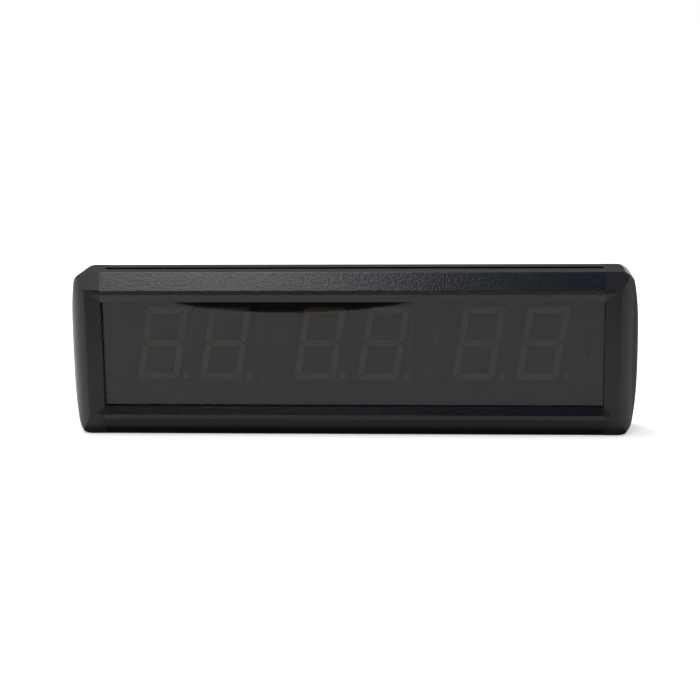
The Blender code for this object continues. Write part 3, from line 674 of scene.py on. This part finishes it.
screw = {
    "shank": 0.00145,
    "core": 0.00118,
    "pitch": 0.0009,
    "perTurn": 6,  # rings in one turn of the thread
    "tip": 0.25,  # width at the tip, as a share
    "tipTurns": 3,  # turns until it is full
    "sides": 24,
    "rim": 0.4,  # straight part of the head's height
    "crown": 0.45,  # flat part of the head's width
    "crownSteps": 6,
    "cross": (0.0007, 0.0034, 0.0013),
    "smooth": 32.0,
}


def screwShape():  # pan head screw along X with a real helix and a cross recess; head at the far end
    low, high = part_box("right_upper_cap_screw")
    seat = joint + cap["seat"] + fit
    headRadius = (high.y - low.y) / 2
    headTall = high.x - seat
    sides, pitch, core = screw["sides"], screw["pitch"], screw["core"]
    spokes = [math.tau * step / sides for step in range(sides)]
    shape = bmesh.new()
    rings = []

    def addRing(along, radii):
        pairs = zip(radii, spokes)
        spots = [(along, radius * math.cos(turn), radius * math.sin(turn)) for radius, turn in pairs]
        rings.append([shape.verts.new(spot) for spot in spots])

    levels = int((seat - low.x) / pitch) * screw["perTurn"]
    for level in range(levels + 1):
        along = low.x + (seat - low.x) * level / levels
        taper = min(1.0, screw["tip"] + (along - low.x) / (screw["tipTurns"] * pitch))
        waves = [abs(((along - low.x) / pitch - step / sides) % 1.0 - 0.5) * 2 for step in range(sides)]
        addRing(along, [(core + (screw["shank"] - core) * (1 - wave)) * taper for wave in waves])
    addRing(seat, [headRadius] * sides)
    rim, crown = screw["rim"], screw["crown"]
    for turn in quarter(screw["crownSteps"]):
        radius = headRadius * (crown + (1 - crown) * math.cos(turn))
        addRing(seat + headTall * (rim + (1 - rim) * math.sin(turn)), [radius] * sides)
    for one, two in zip(rings, rings[1:]):
        walls(shape, one, two)
    shape.faces.new(rings[0])
    shape.faces.new(rings[-1])
    wide, long, deep = screw["cross"]
    top = seat + headTall
    arms = []
    for a, b in ((wide, long), (long, wide)):
        arms.append(block((top - deep, -a / 2, -b / 2), (top + deep, a / 2, b / 2)))
    return softened(carved(closedMesh(shape, "screw"), arms), screw["smooth"])


def makeScrews():
    shape = screwShape()
    points, turns, names = [], [], []
    for side, turn in (("right", 0.0), ("left", math.pi)):
        for row in ("upper", "lower"):
            low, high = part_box(f"{side}_{row}_cap_screw")
            points.append((0.0, (low.y + high.y) / 2, (low.z + high.z) / 2))
            turns.append((0.0, 0.0, turn))
            names.append(f"{side}_{row}_cap_screw")
    made = softened(copiesOf(shape, points, "zinc", turns), screw["smooth"])
    newPiece("cap_screws", made, "zinc", replaced=names)
    print("screws:", len(points))


# Rails, window, back panel and board

rail = {
    "edge": 0.0009,  # rounding of the ridge between the top face and the bevel
    "share": 0.4,  # of it, on the other long edges
    "seam": 0.25,  # of it, on the ends, which makes the fine groove beside the caps
    "segments": 3,
    "sharp": 0.2,  # least turn of an edge that is rounded, in radians
    "front": -0.009,
    "back": 0.014,
    "rim": 0.0003,
    "close": 0.95,  # of the gap to the caps that is filled
    "smooth": 26.0,
}

sheets = {
    "front_window": ("acrylic", "window_acrylic"),
    "back_panel": ("panel", "panel_finish"),
    "main_board": ("board", "board_mask"),
}
sheetEdge = (0.0002, 50.0)
sheetSmooth = 35.0


def eased(mesh):  # rounds the outer edges of an extrusion
    shape = bmesh.new()
    shape.from_mesh(mesh)
    layer = shape.edges.layers.float.new("bevel_weight_edge")
    for edge in shape.edges:
        spots = [vert.co for vert in edge.verts]
        rims = [spot.z < rail["rim"] or spot.z > tall - rail["rim"] for spot in spots]
        outer = [rim or spot.y < rail["front"] or spot.y > rail["back"] for rim, spot in zip(rims, spots)]
        if not all(outer) or not edge.is_convex or edge.calc_face_angle() < rail["sharp"]:
            continue
        if all(abs(spot.x) > joint - fit for spot in spots) and spots[0].x * spots[1].x > 0.0:
            edge[layer] = rail["seam"]
        elif abs(spots[0].x - spots[1].x) > joint:
            edge[layer] = 1.0 if rims[0] and spots[0].y < 0.0 else rail["share"]
    settings = {"width": rail["edge"], "segments": rail["segments"], "limit_method": "WEIGHT"}
    return evaluated(meshFrom(shape, "eased"), [("BEVEL", settings)])


def makeHousing():
    for node in ("top_rail", "bottom_rail"):
        mesh = mergedCopy(node)
        for vert in mesh.vertices:  # brings the ends to the caps
            if abs(vert.co.x) > joint - fit:
                vert.co.x = math.copysign(joint + fit * rail["close"], vert.co.x)
        mesh = softened(eased(mesh), rail["smooth"])
        newPiece(node + "_coated", mesh, "coat", replaced=[node])
    for node, (look, slot) in sheets.items():
        mesh = softened(bevelled(mergedCopy(node), *sheetEdge), sheetSmooth)
        newPiece(node + "_sheet", mesh, look, replaced=[node])
    print("housing: rails, window, panel and board")


# Digits

digit = {
    "height": 0.0395,
    "width": 0.0223,
    "bar": 0.0034,
    "split": 0.00042,  # dark line between neighbouring bars
    "round": 0.0014,  # outer corners
    "roundSteps": 3,  # in half a corner
    "slant": math.radians(9.3),
    "recess": 0.0004,
    "proud": 0.00034,  # of the recess's floor
    "pointX": 0.0152,
    "pointRadius": 0.0017,
    "pointSides": 28,
    "chamfer": (0.0005, 30.0),
    "pinRows": (0.0152, -0.0152),
    "pins": 5,
    "pinPitch": 0.00254,
    "pinRadius": 0.00025,
    "pinLong": (0.0021, 0.0023),  # to the shoulder and to the tip
    "pinGap": 0.00002,
    "pinSides": 10,
    "smooth": 30.0,
}


def cornerOf(first, last):  # points round the upper right outer corner, between two angles in degrees
    x, z, radius = digit["width"] / 2, digit["height"] / 2, digit["round"]
    return arcOf((x - radius, z - radius), radius, first, last, digit["roundSteps"])


def barOutlines():  # seven mitred bars about the digit's middle
    x, half = digit["width"] / 2, digit["bar"] / 2
    inX, inZ = x - digit["bar"], digit["height"] / 2 - digit["bar"]
    gap = digit["split"] / math.sqrt(2.0)
    over = cornerOf(90.0, 45.0)
    over[-1] = (over[-1][0] - gap, over[-1][1])
    over.append((inX - gap, inZ))
    top = over + [(-a, b) for a, b in reversed(over)]
    side = cornerOf(45.0, 0.0)
    side[0] = (side[0][0], side[0][1] - gap)
    side += [(x, half + gap), (x - half, gap), (inX, half + gap), (inX, inZ - gap)]
    across = [(inX + half - gap, 0.0), (inX - gap, half), (-inX + gap, half)]
    across += [(-a, -b) for a, b in across]
    bars = [top, [(a, -b) for a, b in top], across]
    for flipX in (1, -1):
        for flipZ in (1, -1):
            bars.append([(a * flipX, b * flipZ) for a, b in side])
    return bars


def leant(x, z):
    return x + z * math.tan(digit["slant"]), z


def faceShapes(near, far):  # the bars and the point of one digit between two depths, as one mesh
    radius, sides = digit["pointRadius"], digit["pointSides"]
    level = -digit["height"] / 2 + radius
    x = leant(digit["pointX"], level)[0]
    outlines = [[leant(a, b) for a, b in bar] for bar in barOutlines()]
    turns = [math.tau * step / sides for step in range(sides)]
    outlines.append([(x + radius * math.cos(turn), level + radius * math.sin(turn)) for turn in turns])
    shape = bmesh.new()
    for outline in outlines:
        ends = [[shape.verts.new((a, y, b)) for a, b in outline] for y in (near, far)]
        shape.faces.new(ends[0])
        shape.faces.new(ends[1])
        walls(shape, *ends)
    return closedMesh(shape, "bars")


def makeDigits():
    names = [f"digit_module_{number}" for number in range(1, 7)]
    boxes = [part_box(name) for name in names]
    half = (boxes[0][1] - boxes[0][0]) / 2
    points = [(low + high) / 2 for low, high in boxes]
    floor = digit["recess"] - half.y
    body = carved(bevelled(block(-half, half), *digit["chamfer"]), [faceShapes(-2 * half.y, floor)])
    bars = faceShapes(floor - digit["proud"], floor)
    radius, (shoulder, tip) = digit["pinRadius"], digit["pinLong"]
    pin = spun([(0.0, 0.0), (radius, 0.0), (radius, shoulder), (0.0, tip)], digit["pinSides"])
    spots = []
    for point in points:
        for row in digit["pinRows"]:
            for step in range(digit["pins"]):
                across = (step - (digit["pins"] - 1) / 2) * digit["pinPitch"]
                spots.append((point.x + across, point.y + half.y + digit["pinGap"], point.z + row))
    bodies = softened(copiesOf(body, points, "module"), digit["smooth"])
    meshes = [bodies, copiesOf(bars, points, "segment"), copiesOf(pin, spots, "tin")]
    newPiece("digit_modules", joined(meshes), ["module", "segment", "tin"], replaced=names)
    print("digits:", len(points), "modules,", len(spots), "pins")


# Lamps and the receiver

lamp = {
    "rim": 0.0004,
    "rimTall": 0.0010,
    "ring": 0.58,  # where the shell ends and the core begins, as a share of the radius
    "slack": 0.00002,
    "domeSteps": 6,
    "sides": 32,
    "smooth": 40.0,
}

# the pilot lamps' shell takes the rim finish, a painted highlight of the lens edge, and their core takes the
# dark dome finish
lampGroups = {"colon": (("lens", "lens"), "colon_lens"), "pilot": (("rim", "dome"), "pilot_lens")}


def domeLevel(radius, tallness, across):  # height of the dome at a distance from its axis
    return tallness - radius + math.sqrt(max(0.0, radius**2 - across**2))


def lampShapes(radius, tallness):  # towards -Y: an outer shell with its flange, and a core
    inner = radius * lamp["ring"]
    core = inner - lamp["slack"]
    flange, rise = radius + lamp["rim"], lamp["rimTall"]
    shares = [math.cos(turn) for turn in quarter(lamp["domeSteps"])]
    shell = [(inner, 0.0), (flange, 0.0), (flange, rise), (radius, rise)]
    shell += [(across, domeLevel(radius, tallness, across)) for across in
              [inner + (radius - inner) * share for share in shares]]
    heart = [(0.0, 0.0), (core, 0.0)]
    heart += [(across, domeLevel(radius, tallness, across)) for across in
              [core * share for share in shares[:-1]]]
    heart.append((0.0, tallness))
    return [softened(spun(one, lamp["sides"], sign=-1.0), lamp["smooth"]) for one in (shell, heart)]


def makeLamps():
    for group, (pair, slot) in lampGroups.items():
        names = [f"{group}_lamp_{number}" for number in range(1, 5)]
        boxes = [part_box(name) for name in names]
        low, high = boxes[0]
        radius = (high.x - low.x) / 2 - lamp["rim"]
        points = [((a.x + b.x) / 2, b.y, (a.z + b.z) / 2) for a, b in boxes]
        shapes = lampShapes(radius, high.y - low.y)
        made = joined([copiesOf(one, points, look) for one, look in zip(shapes, pair)])
        newPiece(group + "_lamps", softened(made, lamp["smooth"], False), pair, replaced=names)
    newPiece("infrared_receiver_lens", softened(mergedCopy("infrared_receiver"), lamp["smooth"]), "dome",
             replaced=["infrared_receiver"])
    print("lamps: colons, pilots and receiver")


# Controls and socket on the back

button = {
    "radius": 0.0023,
    "flange": 0.0034,
    "flangeThick": 0.0010,
    "foot": 0.0015,
    "round": 0.0005,
    "dish": 0.00022,
    "steps": 6,  # in the rounding and in the dish
    "sides": 48,
    "smooth": 35.0,
}


def makeButtons():
    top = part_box("back_panel")[0].y - fit
    under = top - button["flangeThick"]
    foot, flange, radius, steps = (button[part] for part in ("foot", "flange", "radius", "steps"))
    rim = radius - button["round"]
    for name in ("set_button", "up_button", "down_button"):
        low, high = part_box(name)
        profile = [(0.0, low.y), (foot, low.y), (foot, under), (flange, under), (flange, top), (radius, top)]
        profile += arcOf((rim, high.y - button["round"]), button["round"], 0.0, 90.0, steps)
        for step in range(1, steps):
            share = step / steps
            profile.append((rim * (1 - share), high.y - button["dish"] * math.sin(share * math.pi / 2)))
        profile.append((0.0, high.y - button["dish"]))
        shape = spun(profile, button["sides"], at=((low.x + high.x) / 2, 0.0, (low.z + high.z) / 2))
        newPiece(name + "_cap", softened(shape, button["smooth"]), "button", name, [name])
    print("buttons: 3")


socket = {
    "neck": 0.0037,
    "lip": 0.0003,  # chamfer of the neck
    "bore": 0.0028,
    "boreLip": 0.0002,
    "deep": 0.0095,
    "pin": 0.0010,
    "pinDrop": 0.0010,
    "pinGap": 0.00005,
    "pinSteps": 4,
    "thread": 0.00025,
    "pitch": 0.0006,
    "sides": 48,
    "smooth": 30.0,
}

nut = {"face": 1.02, "chamfer": 0.0003, "sides": 48, "smooth": 25.0}  # face: round part, by the flats


def makeJack():
    low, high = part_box("power_jack")
    centre = ((low.x + high.x) / 2, 0.0, (low.z + high.z) / 2)
    wide = (high.x - low.x) / 2
    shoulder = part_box("back_panel")[0].y - fit
    floor = high.y - socket["deep"]
    neck, bore, pitch = socket["neck"], socket["bore"], socket["pitch"]
    body = [(0.0, low.y), (wide, low.y), (wide, shoulder), (neck, shoulder)]
    ridge = shoulder
    while ridge + pitch < high.y - pitch:
        body.append((neck - socket["thread"], ridge + pitch / 2))
        ridge += pitch
        body.append((neck, ridge))
    body += [(neck, high.y - socket["lip"]), (neck - socket["lip"], high.y)]
    body += [(bore + socket["boreLip"], high.y), (bore, high.y - socket["boreLip"])]
    body += [(bore, floor), (0.0, floor)]
    pinTop = high.y - socket["pinDrop"]
    foot = floor + socket["pinGap"]
    half = socket["pin"] / 2
    pin = [(0.0, foot), (socket["pin"], foot), (socket["pin"], pinTop - half)]
    pin += arcOf((half, pinTop - half), half, 0.0, 90.0, socket["pinSteps"]) + [(0.0, pinTop)]
    shapes = [softened(spun(one, socket["sides"], at=centre), socket["smooth"]) for one in (body, pin)]
    newPiece("power_socket", joined(shapes), ["socket", "nickel"],
             replaced=["power_jack"])
    return centre


def makeNut(centre):
    low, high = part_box("jack_nut")
    corner = (high.x - low.x) / 2
    face = corner * math.cos(math.pi / 6) * nut["face"]
    cone = [(0.0, low.y), (face, low.y), (corner, low.y + nut["chamfer"])]
    cone += [(corner, high.y - nut["chamfer"]), (face, high.y), (0.0, high.y)]

    def rod(radius, sides):
        return spun([(0.0, low.y - fit), (radius, low.y - fit), (radius, high.y + fit), (0.0, high.y + fit)],
                    sides, at=centre)

    hexagon, bore = rod(corner, 6), rod(socket["neck"] + fit, nut["sides"])
    solid = carved(carved(hexagon, [spun(cone, nut["sides"], at=centre)], "INTERSECT"), [bore])
    newPiece("socket_nut", softened(solid, nut["smooth"]), "nickel", replaced=["jack_nut"])
    print("socket: jack and nut")


# Parts on the board

inside = {
    "buzzer": ("buzzer", "buzzer_case"),
    "coin_cell_holder": ("holder", "holder_plastic"),
    "coin_cell": ("nickel", "cell_steel"),
    "crystal": ("nickel", "crystal_can"),
    "capacitor_1": ("sleeve", "capacitor_sleeve"),
    "capacitor_2": ("sleeve", "capacitor_sleeve"),
    "microcontroller": ("chip", "chip_package"),
    "display_driver_1": ("chip", "chip_package"),
    "display_driver_2": ("chip", "chip_package"),
    "clock_chip": ("chip", "chip_package"),
    "voltage_regulator": ("chip", "chip_package"),
    "switch_1": ("socket", "switch_case"),
    "switch_2": ("socket", "switch_case"),
    "switch_3": ("socket", "switch_case"),
}
insideEdge = (0.00015, 40.0)
insideSmooth = 32.0


def makeInside():
    for node, (look, slot) in inside.items():
        mesh = softened(bevelled(mergedCopy(node), *insideEdge), insideSmooth)
        newPiece(node + "_part", mesh, look, replaced=[node])
    print("inside:", len(inside), "parts")


# Stage

studio = {
    "camera": (0.05305, -0.84745, 0.2286),
    "turn": (-0.21375, 0.0121, 0.0616),  # pitch, roll and yaw of a camera looking along +Y
    "lens": 82.2,
    "sensor": 36.0,
    "nearest": 0.01,
    "ambient": 0.6,
    "floor": 0.86,
    "floorSize": 4.0,
    "glow": (0.38, 0.5),  # lift of the floor for the eye and reflections, near the clock and far from it
    "glowReach": (0.30, 1.2),
    "dark": (-0.0704, -0.4745, 0.122, -0.415),  # middle, radius and cut of the dark card in front, whose grey is a painted dark reflection under the window's upper lip
    "darkSides": 192,
    "edge": -0.407,  # where the pale floor ends for reflections and the front card's painted dark reflection begins
    "cardRough": 0.9,
}

room = {
    # what reflections show; the reaches are parts of a ray's heading
    "low": (0.04, 0.07, 0.12, 1.0),
    "high": (0.30, 0.41, 0.62, 1.0),
    "rise": (0.42, 0.58),  # from low to high
    "backdrop": grey(1.0),
    "depth": (-0.5, 0.2),  # from the dim side behind the camera to the backdrop
    "left": grey(1.0),
    "leftReach": (0.3, 0.85),
    "right": (0.42, 0.53, 0.62, 1.0),
    "rightReach": (0.35, 0.9),
    "rightFade": (-0.2, 0.3),  # towards the backdrop
    "rightLoss": 0.8,
}

lights = {
    # name: place, aim, width, height, power, colour
    "key": ((-0.241, -0.7485, 0.725), (-0.021, -0.0085, 0.08), 0.42, 0.23, 2.12, (1.0, 0.99, 0.97)),
    "over": ((-0.26, 0.14, 1.15), (-0.1, 0.0, 0.05), 0.6, 0.5, 11.0, (1.0, 1.0, 0.99)),
    "fill": ((1.0, -0.5, 0.6), (0.0, 0.0, 0.05), 0.5, 0.5, 0.8, (0.90, 0.95, 1.0)),
}


def raySort(w, *sorts):  # 1 for rays of these sorts
    total = 0.0
    for sort in sorts:
        total = w.node("ShaderNodeLightPath", out=f"Is {sort} Ray") + total
    return w.maths("MINIMUM", total, 1.0)


def makeFloor():
    shape = bmesh.new()
    bmesh.ops.create_grid(shape, x_segments=1, y_segments=1, size=studio["floorSize"])
    floor = bpy.data.objects.new("floor", meshFrom(shape, "floor"))
    bpy.context.scene.collection.objects.link(floor)
    look = bpy.data.materials.new("pale_floor")
    look.use_nodes = True
    tree = look.node_tree
    tree.nodes.remove(tree.nodes["Principled BSDF"])
    w = Wire(tree)
    matt = w.node("ShaderNodeBsdfDiffuse", None, {"Color": grey(studio["floor"])})
    away = w.node("ShaderNodeVectorMath", {"operation": "LENGTH"}, {0: objectPlace(w)}, "Value")
    near, far = studio["glow"]
    lift = away.between(*studio["glowReach"]) * (far - near) + near
    lift = lift * raySort(w, "Camera", "Glossy", "Transmission")
    glow = w.node("ShaderNodeEmission", None, {"Color": grey(1.0), "Strength": lift})
    both = w.node("ShaderNodeAddShader", None, {0: matt, 1: glow})
    tree.links.new(both.socket, tree.nodes["Material Output"].inputs["Surface"])
    floor.data.materials.append(look)


def arcCard():  # a round card cut straight at its far side
    x, y, radius, cut = studio["dark"]
    turns = [math.tau * step / studio["darkSides"] for step in range(studio["darkSides"])]
    spots = [(x + radius * math.cos(turn), y + radius * math.sin(turn)) for turn in turns]
    return [spot for spot in spots if spot[1] > cut]


def oblong(left, low, right, high):
    return [(left, low), (right, low), (right, high), (left, high)]


cards = {
    # corners on the floor, height and shade; the shade is painted into reflections only
    # painted reflection: a dark arc that the window shows under its upper lip
    "round_card": (arcCard(), 0.0012, 0.006),
    # painted reflection: dark floor far in front, seen in the band above the window
    "front_card": (oblong(-2.0, -3.0, 2.0, studio["edge"]), 0.0006, 0.03),
    # painted reflection: a dark flag that the right cap's side shows
    "side_card": ([(0.150, 0.0), (0.9, 0.3), (0.9, 1.2), (0.16, 1.2)], 0.0006, 0.22),
    # painted shade: the floor near the clock, darker in reflections than to the eye
    "near_card": (oblong(-0.139, -0.066, 0.139, -0.0157), 0.0002, 0.78),
    # painted shadow: the contact shadow in front of the foot, seen in the bottom bevel
    "foot_card": (oblong(-0.158, -0.0157, 0.158, -0.0118), 0.0003, 0.12),
}


def makeCards():  # cards on the floor that only reflections show: the dark faces mirror them, as painted dark reflections and painted floor shade
    for name, (corners, level, shade) in cards.items():
        shape = bmesh.new()
        shape.faces.new([shape.verts.new((x, y, level)) for x, y in corners])
        card = bpy.data.objects.new(name, closedMesh(shape, name))
        bpy.context.scene.collection.objects.link(card)
        paper = {"Base Color": grey(shade), "Roughness": studio["cardRough"]}
        card.data.materials.append(newFinish(name, paper))
        for ray in ("camera", "diffuse", "shadow", "transmission"):
            setattr(card, "visible_" + ray, False)


def makeWorld():  # white to the eye, even for soft light; reflections show a dim room behind the camera
    world = bpy.data.worlds.new("studio")
    world.use_nodes = True
    bpy.context.scene.world = world
    tree = world.node_tree
    w = Wire(tree)
    heading = w.node("ShaderNodeTexCoord", out="Generated")
    across, behind, up = (heading.part(axis) for axis in "XYZ")
    seen = w.blend(up.between(*room["rise"]), room["low"], room["high"])
    seen = w.blend(behind.between(*room["depth"]), seen, room["backdrop"])
    seen = w.blend((0.0 - across).between(*room["leftReach"]), seen, room["left"])
    right = across.between(*room["rightReach"])
    right = right * (1.0 - behind.between(*room["rightFade"]) * room["rightLoss"])
    seen = w.blend(right, seen, room["right"])
    shade = w.blend(raySort(w, "Glossy"), grey(studio["ambient"]), seen)
    shade = w.blend(raySort(w, "Camera", "Transmission"), shade, grey(1.0))
    background = tree.nodes["Background"]
    tree.links.new(shade.socket, background.inputs["Color"])
    background.inputs["Strength"].default_value = 1.0


def makeLights():
    for name, (place, aim, width, height, power, colour) in lights.items():
        data = bpy.data.lights.new(name, "AREA")
        data.shape = "RECTANGLE"
        data.size, data.size_y = width, height
        data.energy = power
        data.color = colour
        made = bpy.data.objects.new(name, data)
        made.location = place
        made.rotation_euler = (Vector(aim) - Vector(place)).to_track_quat("-Z", "Y").to_euler()
        bpy.context.scene.collection.objects.link(made)


def makeCamera():
    data = bpy.data.cameras.new("camera")
    data.lens = studio["lens"]
    data.sensor_width = studio["sensor"]
    data.clip_start = studio["nearest"]
    made = bpy.data.objects.new("camera", data)
    bpy.context.scene.collection.objects.link(made)
    pitch, roll, yaw = studio["turn"]
    turn = Matrix.Rotation(yaw, 4, "Z") @ Matrix.Rotation(roll, 4, "Y") @ Matrix.Rotation(pitch, 4, "X")
    made.matrix_world = Matrix.Translation(studio["camera"]) @ turn @ Matrix.Rotation(math.pi / 2, 4, "X")
    bpy.context.scene.camera = made


makeCamera()
makeWorld()
makeLights()
makeFloor()
makeCards()
print("stage: camera, world, lights, floor and cards")
makeCaps()
makeScrews()
makeHousing()
makeDigits()
makeLamps()
makeButtons()
makeNut(makeJack())
makeInside()
bpy.context.scene.view_settings.view_transform = "Standard"
